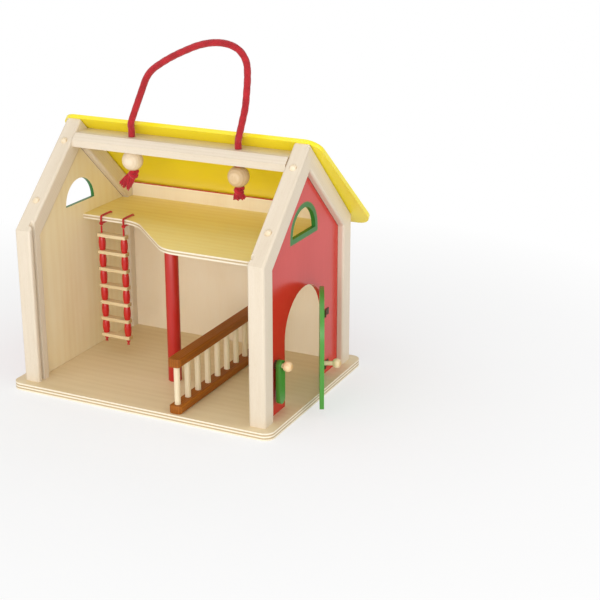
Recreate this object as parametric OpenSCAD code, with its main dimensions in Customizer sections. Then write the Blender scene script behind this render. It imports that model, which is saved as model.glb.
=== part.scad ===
// Toy barn: open wooden frame on a plywood base, red gable walls, one fixed
// roof board, a loft with a rope ladder, a stall partition, an arched door
// with a turn latch, and a rope carrying handle.
// The ridge runs along X, the open front faces -Y, and Z is up.
// The origin is the middle of the base plate's underside.

/* [Frame] */
// Length over the outer faces of the two gable frames
frame_l = 320; // [260:1:420]
// Width over the outer faces of the posts
frame_w = 228.6; // [190:0.2:300]
// Height of the eave corner above the base plate
post_h = 185.5; // [160:0.5:240]
// Pitch of the roof in degrees
roof_pitch = 43.35; // [35:0.05:50]
// Thickness of the frame bars along the ridge
bar_t = 20.5; // [17:0.5:28]
// Width of the frame bars in the plane of the gable
bar_w = 21.8; // [19:0.2:30]
// Rounding of the bars' long edges
bar_r = 3; // [1:0.25:4]
// Depth of the grooves that hold the gable panels
panel_seat = 5; // [3:0.25:6]
// Depth of the wall grooves in the posts
wall_seat = 4.5; // [3:0.25:5]

/* [Boards] */
// Thickness of the plywood panels, wall, roof board and door
ply_t = 5; // [4:0.25:6.5]
// Thickness of the base plate
base_t = 9; // [7:0.5:14]
// How far the base plate reaches past the frame
base_margin = 11.5; // [8:0.5:20]
// Corner radius of the base plate
base_r = 12; // [4:0.5:18]
// How far the roof board reaches past the gable frames at the ridge
roof_over = 8.5; // [6:0.5:20]
// How much farther it reaches at its lower edge
roof_flare = 13; // [0:0.5:16]
// How far the roof board reaches past the ridge
roof_ridge_over = 1.5; // [0:0.25:4]
// How far the roof board reaches past the eave corner
roof_eave_over = 22.3; // [12:0.1:30]
// Corner radius of the roof board
roof_r = 19; // [8:0.5:24]
// Space between the back wall's top edge and the roof board
wall_top_gap = 2; // [1:0.25:5]
// Radius of the gable windows
window_r = 29.5; // [20:0.5:33]
// Height of the windows' sills above the eave corner
window_h = 6; // [0.5:0.5:12]

/* [Ridge and handle] */
// Half width of the ridge beam
beam_half = 21.5; // [18:0.25:24]
// Depth of the ridge beam below the ridge line
beam_drop = 28.4; // [26:0.2:34]
// Distance from the ridge line down to the beam's flat top
beam_flat = 13.2; // [12:0.2:18]
// Diameter of the handle rope
rope_d = 8; // [6:0.25:9]
// Distance between the two rope holes
rope_pitch = 140; // [120:1:180]
// Middle between the two rope holes along the ridge
rope_x = 2; // [-5:0.5:5]
// Distance of the rope holes from the ridge line, towards the back
rope_y = -3.5; // [-8:0.5:-3.5]
// Radial room of the rope in the beam and in the beads
rope_room = 0.4; // [0.3:0.05:0.8]
// Diameter of the round beads below the beam
bead_d = 25; // [20:0.5:32]
// How far the right bead hangs below the beam
bead_slack = 4; // [0.5:0.25:6]

/* [Loft] */
// Depth of the loft's upper face below the eave corner
loft_h = 10; // [9.5:0.5:36]
// Thickness of the loft board
loft_t = 5.5; // [5:0.25:7]
// Front edge of the loft's narrow part, measured from the middle
loft_near = 4.5; // [-10:0.5:20]
// Front edge of the loft's deep part, measured from the middle
loft_far = -75; // [-84:0.5:-60]
// Distance of the curved step's start from the left gable's outer face
curve_x = 69; // [60:0.5:80]
// Steepest angle of the curved step
curve_a = 44; // [38:0.5:50]
// Radius of the hollow bend in the curved step
curve_r1 = 50; // [30:1:60]
// Radius of the full bend in the curved step
curve_r2 = 38; // [20:1:45]
// Depth of the loft's seats in the gable panels
loft_seat = 1.5; // [1:0.25:2.5]
// Diameter of the loft post
loft_post_d = 16; // [12:0.5:20]

/* [Stall] */
// Width of the stall rails
rail_w = 16.5; // [14:0.5:20]
// Distance of the stall rails' middle from the right gable's outer face
rail_x = 109.75; // [90:0.25:125]
// Front end of the stall rails
rail_front = -122.5; // [-124:0.5:-110]
// Height of the lower rail
rail_low_t = 9.5; // [9:0.25:14]
// Height of the upper rail
rail_top_t = 10; // [9:0.25:14]
// Height of the upper rail's underside above the base plate
rail_top_h = 56; // [40:0.5:80]
// Diameter of the spindles
spindle_d = 7; // [5:0.25:8]
// Number of spindles
spindle_n = 10; // [6:1:12]

/* [Door] */
// Radius of the arched doorway
door_r = 51.5; // [44:0.5:56]
// Height of the arch's centre above the base plate
door_spring = 76.8; // [60:0.2:85]
// Middle of the doorway, measured from the ridge line
door_y = 1.5; // [-5:0.5:5]
// Gap around the door leaf
door_gap = 0.8; // [0.5:0.1:1.5]
// How far the door stands open at rest, in degrees
door_rest = 25.5; // [0:0.5:90]
// Height of the hinges
hinge_h = 8; // [6:0.5:12]
// Width of one hinge plate from the pin
hinge_w = 13.5; // [10:0.5:18]
// Thickness of the hinge plates
hinge_t = 0.8; // [0.6:0.05:1.2]
// Diameter of the hinge pins
pin_d = 2; // [1.5:0.1:2.5]
// Height of the lower hinge's middle above the base plate
hinge_low = 12; // [8:0.5:30]
// Height of the upper hinge's middle above the base plate
hinge_high = 77.8; // [60:0.2:85]
// Distance of the knob from the hinge pin
knob_reach = 79.5; // [60:0.5:82]
// Height of the knob above the base plate
knob_h = 47.8; // [20:0.2:50]
// Diameter of the knob's ball
knob_d = 11; // [9:0.5:14]
// Distance of the ball's middle from the leaf
knob_out = 14.5; // [10:0.5:18]
// Diameter of the knob's stem
knob_stem_d = 5; // [4:0.25:6]

/* [Latch] */
// Length of the latch bar
latch_l = 52; // [44:0.5:54]
// Width of the latch bar
latch_w = 12.5; // [10:0.25:14]
// Thickness of the latch bar
latch_t = 5.3; // [4:0.1:7]
// Distance of the latch peg from the doorway's edge
latch_reach = 23.5; // [21:0.25:26]
// Height of the latch peg above the base plate
latch_h = 60.2; // [55:0.2:70]
// Thickness of the spacer behind the latch bar
latch_gap = 3.6; // [2.5:0.1:5]
// Diameter of the latch peg's stem
peg_stem_d = 5.4; // [4:0.2:7]
// Diameter of the latch peg's ball
peg_ball_d = 12; // [10:0.5:15]

/* [Rope ladder] */
// Diameter of the ladder cords
cord_d = 2.2; // [1.6:0.1:2.8]
// Distance between the two ladder cords
cord_pitch = 31.5; // [26:0.5:34]
// Distance of the ladder's middle from the left gable's outer face
ladder_x = 56; // [50:0.25:60]
// Distance of the cord holes from the loft's front edge
cord_hole_in = 20; // [12:0.5:30]
// Distance of the hanging cords in front of the loft's edge
cord_out = 3.2; // [2.5:0.1:5]
// Number of rungs
rung_n = 7; // [4:1:7]
// Length of the rungs
rung_l = 40; // [37:0.5:44]
// Depth of the rungs from front to back
rung_w = 10; // [7:0.5:14]
// Thickness of the rungs
rung_t = 4; // [3:0.25:5]
// Length of the beads between the rungs
barrel_l = 17.4; // [12:0.2:18]
// Diameter of the beads between the rungs
barrel_d = 9; // [6:0.25:9.5]
// Length of bare cord between the knots and the first rung
cord_lead = 7.8; // [7:0.1:20]

/* [Fasteners] */
// Diameter of the domed roof pegs
roof_peg_d = 8.6; // [6:0.2:10]
// Height of the roof pegs' domes
roof_peg_dome = 2.8; // [1.5:0.1:3]
// Distance of the upper roof pegs from the ridge
roof_peg_a = 31.6; // [26:0.2:45]
// Distance of the lower roof pegs from the ridge
roof_peg_b = 115.4; // [90:0.2:120]
// Diameter of the dowels inside the frame joints
dowel_d = 6; // [4:0.5:7]
// Length of the dowels inside the frame joints
dowel_l = 16; // [12:1:20]
// Diameter of the screws' shanks
screw_d = 3; // [2.5:0.1:3.5]
// Length of the screws in the posts
post_screw_l = 30; // [24:1:40]
// Length of the screws in the stall rail and the loft post
rail_screw_l = 15; // [12:1:18]
// Length of the screws through the back wall
wall_screw_l = 16; // [12:1:20]
// Depth of the roof pegs in the rafters
roof_peg_l = 14.6; // [10:0.2:18]
// Radial room of pegs, pins and dowels in their holes
fit = 0.04; // [0.02:0.01:0.08]

/* [Hidden] */
$fn = 64;

// frame
half_l = frame_l / 2;
half_w = frame_w / 2;
x_in = half_l - bar_t;
x_mid = half_l - bar_t / 2;
y_in = half_w - bar_w;
y_mid = half_w - bar_w / 2;
slope = tan(roof_pitch);
eave_z = base_t + post_h;
apex_z = eave_z + half_w * slope;
inner_apex = apex_z - bar_w / cos(roof_pitch);
inner_eave = inner_apex - y_in * slope;
rafter_l = half_w / cos(roof_pitch);

// boards
base_l = frame_l + 2 * base_margin;
base_w = frame_w + 2 * base_margin;
panel_in = x_mid - ply_t / 2;
panel_out = x_mid + ply_t / 2;
groove_room = 0.2;
groove_w = ply_t + 2 * groove_room;
wall_y = y_mid + 3 - ply_t / 2;
roof_s0 = -roof_ridge_over;
roof_s1 = rafter_l + roof_eave_over;
window_z = eave_z + window_h;

// ridge beam and handle
beam_low = apex_z - beam_drop;
beam_top = apex_z - beam_flat;
beam_top_half = beam_flat / slope;
rope_r = rope_d / 2;
bead_bore = rope_r + rope_room;
left_bead_z = beam_low - bead_d / 2 - 0.1;
right_bead_z = beam_low - bead_d / 2 - bead_slack;

// loft
loft_top = eave_z - loft_h;
loft_low = loft_top - loft_t;
step_drop = loft_near - loft_far;
step_l = (step_drop - (curve_r1 + curve_r2) * (1 - cos(curve_a))) / sin(curve_a);
curve_x0 = curve_x - half_l;
step_x = curve_x0 + (curve_r1 + curve_r2) * sin(curve_a) + step_l * cos(curve_a);
loft_post_y = -36;
post_tenon_d = 8;
post_tenon_l = 3;

// stall
rail_x0 = half_l - rail_x;
rail_low_z = base_t + rail_low_t;
rail_top_z = base_t + rail_top_h;
spindle_in = 4;
spindle_y0 = rail_front + 7.5;
spindle_y1 = wall_y - 12;
spindle_step = (spindle_y1 - spindle_y0) / (spindle_n - 1);

// door, closed on the wall plane before it is turned about its pin
jamb_y = door_y + door_r;
hinge_x = panel_out + 1.9;
knuckle_r = 1.75;
knuckle_gap = 0.15;
knuckle_h = (hinge_h - 2 * knuckle_gap) / 3;
hinge_zs = [base_t + hinge_low, base_t + hinge_high];
knob_z = base_t + knob_h;
small_screw_d = 1.5;
wall_screw_d = 2.1;
small_head_d = 2.8;
small_head_t = 0.5;
small_screw_l = 4;

// latch
latch_y = door_y - door_r - latch_reach;
latch_z = base_t + latch_h;
latch_x0 = panel_out + latch_gap + 0.1;
spacer_d = 10;

// ladder
ladder_x0 = ladder_x - half_l;
cord_r = cord_d / 2;
cord_y = loft_near - cord_out;
cord_hole_y = loft_near + cord_hole_in;
cord_room = 0.3;
bend_r = 2.2;
cord_top_z = loft_top + cord_r + 0.15;
knot_z = loft_low - 0.2 - bend_r;
knot_r = 2.3;
pivot_z = knot_z - knot_r - cord_r - 0.4;
first_rung_z = pivot_z - cord_lead;
rung_step = rung_t + barrel_l;
cord_end_z = first_rung_z - (rung_n - 1) * rung_step - rung_t;
end_knot_d = 5;

// route of the handle rope above the beam; it leans forward past the edge
// of the roof board
rope_points = [
    [-69, -3.5, 289.2], [-69, -3.5, 297.2], [-67, -7, 306],
    [-62.5, -7.5, 317], [-57, -7.5, 330], [-51, -7, 344.5],
    [-44, -7, 360], [-36, -6.5, 370], [-23, -6.5, 379],
    [-8, -6.5, 387.5], [8, -6.5, 395], [24, -6.5, 401.5],
    [40, -6.5, 405.5], [55, -6.5, 406.5], [68, -6.5, 404],
    [78, -6.5, 398], [84.5, -6.5, 387], [85.5, -6.5, 372],
    [84.5, -7, 355], [82.5, -7, 338], [79, -7.5, 322.5],
    [74.5, -7, 306], [71, -3.5, 297.2], [71, -3.5, 289.2]
];
rope_left = rope_x - rope_pitch / 2;
rope_right = rope_x + rope_pitch / 2;

wood = [0.92, 0.86, 0.78];
ply = [0.85, 0.76, 0.58];
red = [0.77, 0.26, 0.25];
green = [0.38, 0.64, 0.31];
yellow = [0.94, 0.88, 0.2];
bronze = [0.25, 0.18, 0.13];

// a centred rectangle with true round corners
module rounded(w, h, r) {
    square([w - 2 * r, h], center = true);
    square([w, h - 2 * r], center = true);
    for (i = [-1, 1])
        for (j = [-1, 1])
            translate([i * (w / 2 - r), j * (h / 2 - r)])
                circle(r);
}

// a plate that stands in the YZ plane, from x0 over a thickness t
module yz_plate(x0, t) {
    translate([x0, 0, 0])
        rotate([90, 0, 90])
            linear_extrude(t)
                children();
}

// a frame for the back slope: X along the ridge, Y down the slope, Z outward
module on_slope() {
    translate([0, 0, apex_z])
        rotate([-roof_pitch, 0, 0])
            children();
}

module four_corners() {
    for (i = [0, 1])
        for (j = [0, 1])
            mirror([i, 0, 0])
                mirror([0, j, 0])
                    children();
}

module turned_door() {
    translate([hinge_x, jamb_y, 0])
        rotate([0, 0, door_rest])
            translate([-hinge_x, -jamb_y, 0])
                children();
}

// Parts: frame

// outline of the gable panels, reaching into the bars' grooves
module panel_outline() {
    y1 = y_in + panel_seat;
    top = inner_apex + panel_seat / cos(roof_pitch);
    polygon([[-y1, base_t], [y1, base_t], [y1, top - y1 * slope],
        [0, top], [-y1, top - y1 * slope]]);
}

module panel_blank() {
    yz_plate(panel_in, ply_t)
        panel_outline();
}

module wall_groove() {
    translate([x_in - 1, wall_y - groove_room, base_t - 1])
        cube([wall_seat + 1, groove_w, apex_z]);
}

// dowel across the mitre of post and rafter, and one across the apex
module mitre_dowel(r, l) {
    a = atan2(eave_z - inner_eave, bar_w);
    translate([x_mid, y_mid, (eave_z + inner_eave) / 2])
        rotate([a, 0, 0])
            cylinder(r = r, h = l, center = true);
}

module apex_dowel(r, l) {
    translate([x_mid, 0, (apex_z + inner_apex) / 2])
        rotate([90, 0, 0])
            cylinder(r = r, h = l, center = true);
}

module beam_dowel(r, l) {
    translate([x_in, beam_half * 0.56, (beam_low + beam_top) / 2 - 1.6])
        rotate([0, 90, 0])
            cylinder(r = r, h = l, center = true);
}

// countersunk screw that stands on its head, tip up
module csk_screw(d, l) {
    cylinder(r1 = d, r2 = d / 2, h = d / 2);
    cylinder(r = d / 2, h = l);
}

module csk_hole(d, l) {
    translate([0, 0, -1])
        cylinder(r = d + fit, h = 1 + 0.01);
    cylinder(r1 = d + fit, r2 = d / 2 + fit, h = d / 2);
    cylinder(r = d / 2 + fit, h = l + 0.1);
}

module post_screw_at() {
    translate([x_mid, y_mid, 0.4])
        children();
}

// the back right post; the others are its mirror images
module post() {
    difference() {
        intersection() {
            translate([x_mid, y_mid, base_t])
                linear_extrude(post_h + 10)
                    rounded(bar_t, bar_w, bar_r);
            yz_plate(x_in - 1, bar_t + 2)
                polygon([[y_in - 1, base_t - 1], [half_w + 1, base_t - 1],
                    [half_w + 1, eave_z + (eave_z - inner_eave) / bar_w],
                    [half_w, eave_z], [y_in, inner_eave],
                    [y_in - 1, inner_eave - (eave_z - inner_eave) / bar_w]]);
        }
        panel_blank();
        wall_groove();
        mitre_dowel(dowel_d / 2 + fit, dowel_l + 0.4);
        post_screw_at()
            csk_hole(screw_d, post_screw_l);
    }
}

// the back right rafter; the others are its mirror images
module rafter() {
    e = (eave_z - inner_eave) / bar_w;
    difference() {
        intersection() {
            on_slope()
                translate([x_mid, rafter_l / 2, -bar_w / 2])
                    rotate([90, 0, 0])
                        linear_extrude(rafter_l + 80, center = true)
                            rounded(bar_t, bar_w, bar_r);
            yz_plate(x_in - 1, bar_t + 2)
                polygon([[0, inner_apex - 5], [y_in - 5, inner_eave - 5 * e],
                    [half_w + 5, eave_z + 5 * e], [half_w + 5, apex_z + 5],
                    [0, apex_z + 5]]);
        }
        panel_blank();
        wall_groove();
        mitre_dowel(dowel_d / 2 + fit, dowel_l + 0.4);
        apex_dowel(dowel_d / 2 + fit, dowel_l + 0.4);
        beam_dowel(dowel_d / 2 + fit, dowel_l + 0.4);
        roof_peg_places()
            cylinder(r = roof_peg_d / 2 + fit, h = 30, center = true);
    }
}

module left_front_post() color(wood) mirror([1, 0, 0]) mirror([0, 1, 0]) post();
module left_back_post() color(wood) mirror([1, 0, 0]) post();
module right_front_post() color(wood) mirror([0, 1, 0]) post();
module right_back_post() color(wood) post();
module left_front_rafter() color(wood) mirror([1, 0, 0]) mirror([0, 1, 0]) rafter();
module left_back_rafter() color(wood) mirror([1, 0, 0]) rafter();
module right_front_rafter() color(wood) mirror([0, 1, 0]) rafter();
module right_back_rafter() color(wood) rafter();

module frame_dowels() {
    color(wood) {
        four_corners()
            mitre_dowel(dowel_d / 2, dowel_l);
        for (i = [0, 1])
            mirror([i, 0, 0])
                apex_dowel(dowel_d / 2, dowel_l);
    }
}

module beam_dowels() {
    color(wood)
        four_corners()
            beam_dowel(dowel_d / 2, dowel_l);
}

// Parts: boards

module base_plate() {
    color(ply)
        difference() {
            linear_extrude(base_t)
                rounded(base_l, base_w, base_r);
            four_corners()
                post_screw_at()
                    csk_hole(screw_d, post_screw_l);
            rail_screw_places()
                csk_hole(screw_d, rail_screw_l);
        }
}

module post_screws() {
    color(bronze)
        four_corners()
            post_screw_at()
                csk_screw(screw_d, post_screw_l);
}

module rail_screws() {
    color(bronze)
        rail_screw_places()
            csk_screw(screw_d, rail_screw_l);
}

// screws from below into the loft post and the stall's lower rail
module rail_screw_places() {
    translate([0, loft_post_y, 0.4])
        children();
    for (k = [1, spindle_n - 3])
        translate([rail_x0, spindle_y0 + (k + 0.5) * spindle_step, 0.4])
            children();
}

module window_shape() {
    intersection() {
        translate([0, window_z])
            circle(window_r);
        translate([-window_r - 1, window_z])
            square([2 * window_r + 2, window_r + 1]);
    }
}

module doorway_shape(gap) {
    r = door_r - gap;
    spring_z = base_t + door_spring;
    translate([door_y, spring_z])
        circle(r);
    translate([door_y - r, base_t + gap - (gap > 0 ? 0 : 1)])
        square([2 * r, door_spring - gap + (gap > 0 ? 0 : 1)]);
}

module gable_panel() {
    difference() {
        panel_blank();
        yz_plate(panel_in - 1, ply_t + 2)
            window_shape();
    }
}

module left_gable_panel() {
    color(red)
        difference() {
            mirror([1, 0, 0])
                gable_panel();
            loft_blank();
        }
}

module right_gable_panel() {
    color(red)
        difference() {
            gable_panel();
            loft_blank();
            yz_plate(panel_in - 1, ply_t + 2)
                doorway_shape(0);
            translate([panel_in - 1, latch_y, latch_z])
                rotate([0, 90, 0])
                    cylinder(r = peg_stem_d / 2 + fit, h = ply_t + 2);
            wall_screw_places()
                cylinder(r = small_screw_d / 2 + fit, h = 30, center = true);
        }
}

module back_wall() {
    top = apex_z - wall_top_gap;
    x1 = x_in + wall_seat - 0.3;
    color(red)
        difference() {
            yz_plate(-x1, 2 * x1)
                polygon([[wall_y, base_t], [wall_y + ply_t, base_t],
                    [wall_y + ply_t, top - (wall_y + ply_t) * slope],
                    [wall_y, top - wall_y * slope]]);
            back_screw_places()
                csk_hole(wall_screw_d, wall_screw_l);
        }
}

// screws from behind into the loft's back edge and the stall's upper rail
module back_screw_places() {
    side = x_in * 0.72;
    places = [[-side, loft_low + loft_t / 2], [0, loft_low + loft_t / 2],
        [side, loft_low + loft_t / 2], [rail_x0, rail_top_z + rail_top_t / 2]];
    for (p = places)
        translate([p[0], wall_y + ply_t - 0.2, p[1]])
            rotate([90, 0, 0])
                children();
}

module wall_screws() {
    color(bronze)
        back_screw_places()
            csk_screw(wall_screw_d, wall_screw_l);
}

// the board widens towards its lower edge and has round corners
module roof_outline() {
    lean = atan2(roof_flare, roof_s1 - roof_s0);
    side0 = half_l + roof_over - roof_r / cos(lean);
    c0 = [side0 + roof_r * tan(lean), roof_s0 + roof_r];
    c1 = [side0 + roof_flare - roof_r * tan(lean), roof_s1 - roof_r];
    side = concat(arc(c0, roof_r, -90, -lean, 24), arc(c1, roof_r, -lean, 90, 26));
    other = [for (i = [len(side) - 1:-1:0]) [-side[i][0], side[i][1]]];
    polygon(concat(side, other));
}

module roof_panel() {
    color(yellow)
        difference() {
            on_slope()
                linear_extrude(ply_t)
                    roof_outline();
            for (i = [0, 1])
                mirror([i, 0, 0])
                    roof_peg_places()
                        cylinder(r = roof_peg_d / 2 + fit, h = 30, center = true);
        }
}

// the two pegs of the back right rafter, Z pointing out of the roof
module roof_peg_places() {
    for (s = [roof_peg_a, roof_peg_b])
        on_slope()
            translate([x_mid, s, 0])
                children();
}

// a dowel with a domed end that stands out of a surface at height z0
module domed_peg(z0) {
    r = roof_peg_d / 2;
    dome_r = (r * r + roof_peg_dome * roof_peg_dome) / (2 * roof_peg_dome);
    translate([0, 0, -roof_peg_l])
        cylinder(r = r, h = roof_peg_l + z0);
    intersection() {
        translate([0, 0, z0 + roof_peg_dome - dome_r])
            sphere(dome_r);
        translate([0, 0, z0 - 1])
            cylinder(r = r, h = roof_peg_dome + 2);
    }
}

module front_roof_pegs() {
    color(wood)
        for (i = [0, 1])
            mirror([i, 0, 0])
                mirror([0, 1, 0])
                    roof_peg_places()
                        domed_peg(0);
}

module rear_roof_pegs() {
    color(wood)
        for (i = [0, 1])
            mirror([i, 0, 0])
                roof_peg_places()
                    domed_peg(ply_t);
}

// Parts: ridge beam and rope handle

module ridge_beam() {
    side_top = apex_z - beam_half * slope;
    color(wood)
        difference() {
            yz_plate(-x_in, 2 * x_in)
                polygon([[-beam_half, beam_low], [beam_half, beam_low],
                    [beam_half, side_top], [beam_top_half, beam_top],
                    [-beam_top_half, beam_top], [-beam_half, side_top]]);
            for (x = [rope_left, rope_right])
                translate([x, rope_y, beam_low - 1])
                    cylinder(r = rope_r + rope_room, h = beam_drop);
            four_corners()
                beam_dowel(dowel_d / 2 + fit, dowel_l + 0.4);
        }
}

module handle_bead(x, z) {
    color(wood)
        translate([x, rope_y, z])
            difference() {
                sphere(bead_d / 2);
                cylinder(r = bead_bore, h = bead_d + 2, center = true);
            }
}

module left_handle_bead() handle_bead(rope_left, left_bead_z);
module right_handle_bead() handle_bead(rope_right, right_bead_z);

// rope through the beam and the bead, with its knot and frayed end below;
// the frayed end leans over, and flares from the knot to its loose tips
module rope_end(x, bead_z, lean, reach, flare) {
    knot_z = bead_z - bead_d / 2 - rope_r;
    color(red)
        translate([x, rope_y, knot_z]) {
            cylinder(r = rope_r, h = beam_top - knot_z);
            sphere(rope_r * 1.45);
            translate([0, 0, 1])
                rotate_extrude()
                    translate([rope_r * 1.05, 0])
                        circle(rope_r * 0.6);
            rotate([0, lean, 0])
                translate([0, 0, -reach]) {
                    cylinder(r1 = flare, r2 = rope_r * 1.2, h = reach);
                    for (k = [0:4])
                        rotate([0, 0, k * 72])
                            translate([flare * 0.6, 0, -3 - k % 2])
                                cylinder(r = flare * 0.32, h = 8);
                }
        }
}

module left_rope_end() rope_end(rope_left, left_bead_z, 27, 16, 6.2);
module right_rope_end() rope_end(rope_right, right_bead_z, -8, 6.5, 6.4);

// sweeps a round section along points; the first and last runs stay upright
function heading(p, i) =
    i <= 1 ? [0, 0, 1] :
    i >= len(p) - 2 ? [0, 0, -1] :
    (p[i + 1] - p[i - 1]) / norm(p[i + 1] - p[i - 1]);

function ring(p, i, r, n) =
    let (t = heading(p, i),
        side = cross(t, [0, 1, 0]),
        u = side / norm(side),
        v = cross(u, t))
    [for (k = [0:n - 1])
        p[i] + r * cos(360 * k / n) * u + r * sin(360 * k / n) * v];

module rope_sweep(p, r, n) {
    m = len(p);
    pts = [for (i = [0:m - 1]) each ring(p, i, r, n)];
    sides = [for (i = [0:m - 2])
        for (k = [0:n - 1])
            let (a = i * n + k, b = i * n + (k + 1) % n)
            each [[a, a + n, b], [b, a + n, b + n]]];
    cap0 = [for (k = [0:n - 1]) k];
    cap1 = [for (k = [n - 1:-1:0]) (m - 1) * n + k];
    polyhedron(points = pts, faces = concat([cap0, cap1], sides));
}

// the chosen points follow the beam's top and the rope holes
module rope_handle() {
    first = rope_points[0];
    last = rope_points[len(rope_points) - 1];
    stretch = rope_pitch / (last[0] - first[0]);
    route = [for (p = rope_points)
        [rope_left + (p[0] - first[0]) * stretch,
            rope_y + p[1] - first[1],
            beam_top + p[2] - first[2]]];
    color(red)
        rope_sweep(route, rope_r, 12);
}

// Parts: loft

// points of an arc, every degree or two
function arc(c, r, a0, a1, n) =
    [for (i = [0:n])
        c + r * [cos(a0 + (a1 - a0) * i / n), sin(a0 + (a1 - a0) * i / n)]];

// front edge with a hollow bend, a slanting run and a full bend
module loft_outline(x1) {
    hollow = arc([curve_x0, loft_near - curve_r1], curve_r1, 90, 90 - curve_a, 24);
    full = arc([step_x, loft_far + curve_r2], curve_r2, 270 - curve_a, 270, 24);
    polygon(concat([[-x1, loft_near]], hollow, full,
        [[x1, loft_far], [x1, wall_y], [-x1, wall_y]]));
}

// board with its ends in the panels' seats, notched round the back posts
module loft_blank() {
    x1 = panel_in + loft_seat;
    translate([0, 0, loft_low])
        linear_extrude(loft_t)
            difference() {
                loft_outline(x1);
                for (i = [-1, 1])
                    translate([i * (x_in + 50), y_in - groove_room + 50])
                        square([100 + 2 * groove_room, 100], center = true);
            }
}

module loft_floor() {
    color(ply)
        difference() {
            loft_blank();
            ladder_sides()
                translate([0, cord_hole_y, loft_low - 1])
                    cylinder(r = cord_r + cord_room, h = loft_t + 2);
            translate([0, loft_post_y, loft_low - 1])
                cylinder(r = post_tenon_d / 2 + fit, h = 1 + post_tenon_l);
            back_screw_places()
                cylinder(r = wall_screw_d / 2 + fit, h = wall_screw_l + 0.1);
        }
}

module loft_post() {
    color(red)
        difference() {
            translate([0, loft_post_y, base_t])
                union() {
                    cylinder(r = loft_post_d / 2, h = loft_low - base_t);
                    cylinder(r = post_tenon_d / 2,
                        h = loft_low - base_t + post_tenon_l - 0.2);
                }
            rail_screw_places()
                cylinder(r = screw_d / 2 + fit, h = rail_screw_l + 0.1);
        }
}

// Parts: stall partition

// a rail with rounded long edges, its front end rounded in plan
module rail(z0, t) {
    l = wall_y - rail_front;
    intersection() {
        translate([rail_x0, wall_y, z0 + t / 2])
            rotate([90, 0, 0])
                linear_extrude(l + 5)
                    rounded(rail_w, t, 2.5);
        translate([rail_x0, rail_front + l, z0 - 1])
            linear_extrude(t + 2)
                rounded(rail_w + 1, 2 * l, 6);
    }
}

module spindle_places() {
    for (k = [0:spindle_n - 1])
        translate([rail_x0, spindle_y0 + k * spindle_step, 0])
            children();
}

module stall_bottom_rail() {
    color([0.53, 0.33, 0.13])
        difference() {
            rail(base_t, rail_low_t);
            spindle_places()
                translate([0, 0, rail_low_z - spindle_in])
                    cylinder(r = spindle_d / 2 + fit, h = spindle_in + 5);
            rail_screw_places()
                cylinder(r = screw_d / 2 + fit, h = rail_screw_l + 0.1);
        }
}

module stall_top_rail() {
    color([0.53, 0.33, 0.13])
        difference() {
            rail(rail_top_z, rail_top_t);
            spindle_places()
                translate([0, 0, rail_top_z - 5])
                    cylinder(r = spindle_d / 2 + fit, h = spindle_in + 5);
            back_screw_places()
                cylinder(r = wall_screw_d / 2 + fit, h = wall_screw_l + 0.1);
        }
}

module stall_spindles() {
    h = rail_top_z - rail_low_z + 2 * spindle_in;
    color(wood)
        spindle_places()
            translate([0, 0, rail_low_z - spindle_in])
                cylinder(r = spindle_d / 2, h = h);
}

// Parts: door

// screw places of the fixed plates, Z pointing into the wall
module wall_screw_places() {
    for (z = hinge_zs)
        for (i = [-1, 1])
            translate([panel_out + hinge_t, jamb_y + hinge_w * 0.62, z + i * hinge_h / 4])
                rotate([0, -90, 0])
                    children();
}

module leaf_screw_places() {
    for (z = hinge_zs)
        for (i = [-1, 1])
            translate([panel_out + hinge_t, jamb_y - hinge_w * 0.62, z + i * hinge_h / 4])
                rotate([0, -90, 0])
                    children();
}

module small_screw() {
    intersection() {
        translate([0, 0, small_head_d / 2 - small_head_t])
            sphere(small_head_d / 2);
        translate([0, 0, -small_head_t])
            cylinder(r = small_head_d / 2, h = small_head_t);
    }
    cylinder(r = small_screw_d / 2, h = small_screw_l + hinge_t);
}

module hinge_bore() {
    cylinder(r = pin_d / 2 + 0.05, h = hinge_h + 2, center = true);
}

// fixed plates carry the outer knuckles
module hinge_wall_plates() {
    color(bronze)
        difference() {
            for (z = hinge_zs)
                difference() {
                    translate([0, 0, z - hinge_h / 2])
                        union() {
                            translate([panel_out, jamb_y + 0.4, 0])
                                cube([hinge_t, hinge_w - 0.4, hinge_h]);
                            translate([hinge_x, jamb_y, 0])
                                cylinder(r = knuckle_r, h = hinge_h);
                        }
                    translate([hinge_x, jamb_y, z])
                        hinge_bore();
                    translate([panel_out - 1, jamb_y - 3, z - knuckle_h / 2 - knuckle_gap])
                        cube([8, 6, knuckle_h + 2 * knuckle_gap]);
                }
            wall_screw_places()
                cylinder(r = small_screw_d / 2 + fit, h = 4, center = true);
        }
}

// moving plates carry the middle knuckles
module hinge_door_plates() {
    color(bronze)
        turned_door()
            difference() {
                for (z = hinge_zs)
                    difference() {
                        translate([0, 0, z - hinge_h / 2])
                            union() {
                                translate([panel_out, jamb_y - hinge_w, 0])
                                    cube([hinge_t, hinge_w - 2.4, hinge_h]);
                                translate([panel_out, jamb_y - 3, hinge_h / 2 - knuckle_h / 2])
                                    cube([hinge_t, 3 - 0.4, knuckle_h]);
                                translate([hinge_x, jamb_y, hinge_h / 2 - knuckle_h / 2])
                                    cylinder(r = knuckle_r, h = knuckle_h);
                            }
                        translate([hinge_x, jamb_y, z])
                            hinge_bore();
                    }
                leaf_screw_places()
                    cylinder(r = small_screw_d / 2 + fit, h = 4, center = true);
            }
}

module hinge_pins() {
    color(bronze)
        for (z = hinge_zs)
            translate([hinge_x, jamb_y, z - hinge_h / 2 - 0.2]) {
                cylinder(r = pin_d / 2, h = hinge_h + 0.2);
                translate([0, 0, hinge_h + 0.2])
                    cylinder(r = knuckle_r, h = 0.6);
            }
}

module hinge_wall_screws() {
    color(bronze)
        wall_screw_places()
            small_screw();
}

module hinge_door_screws() {
    color(bronze)
        turned_door()
            leaf_screw_places()
                small_screw();
}

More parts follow.
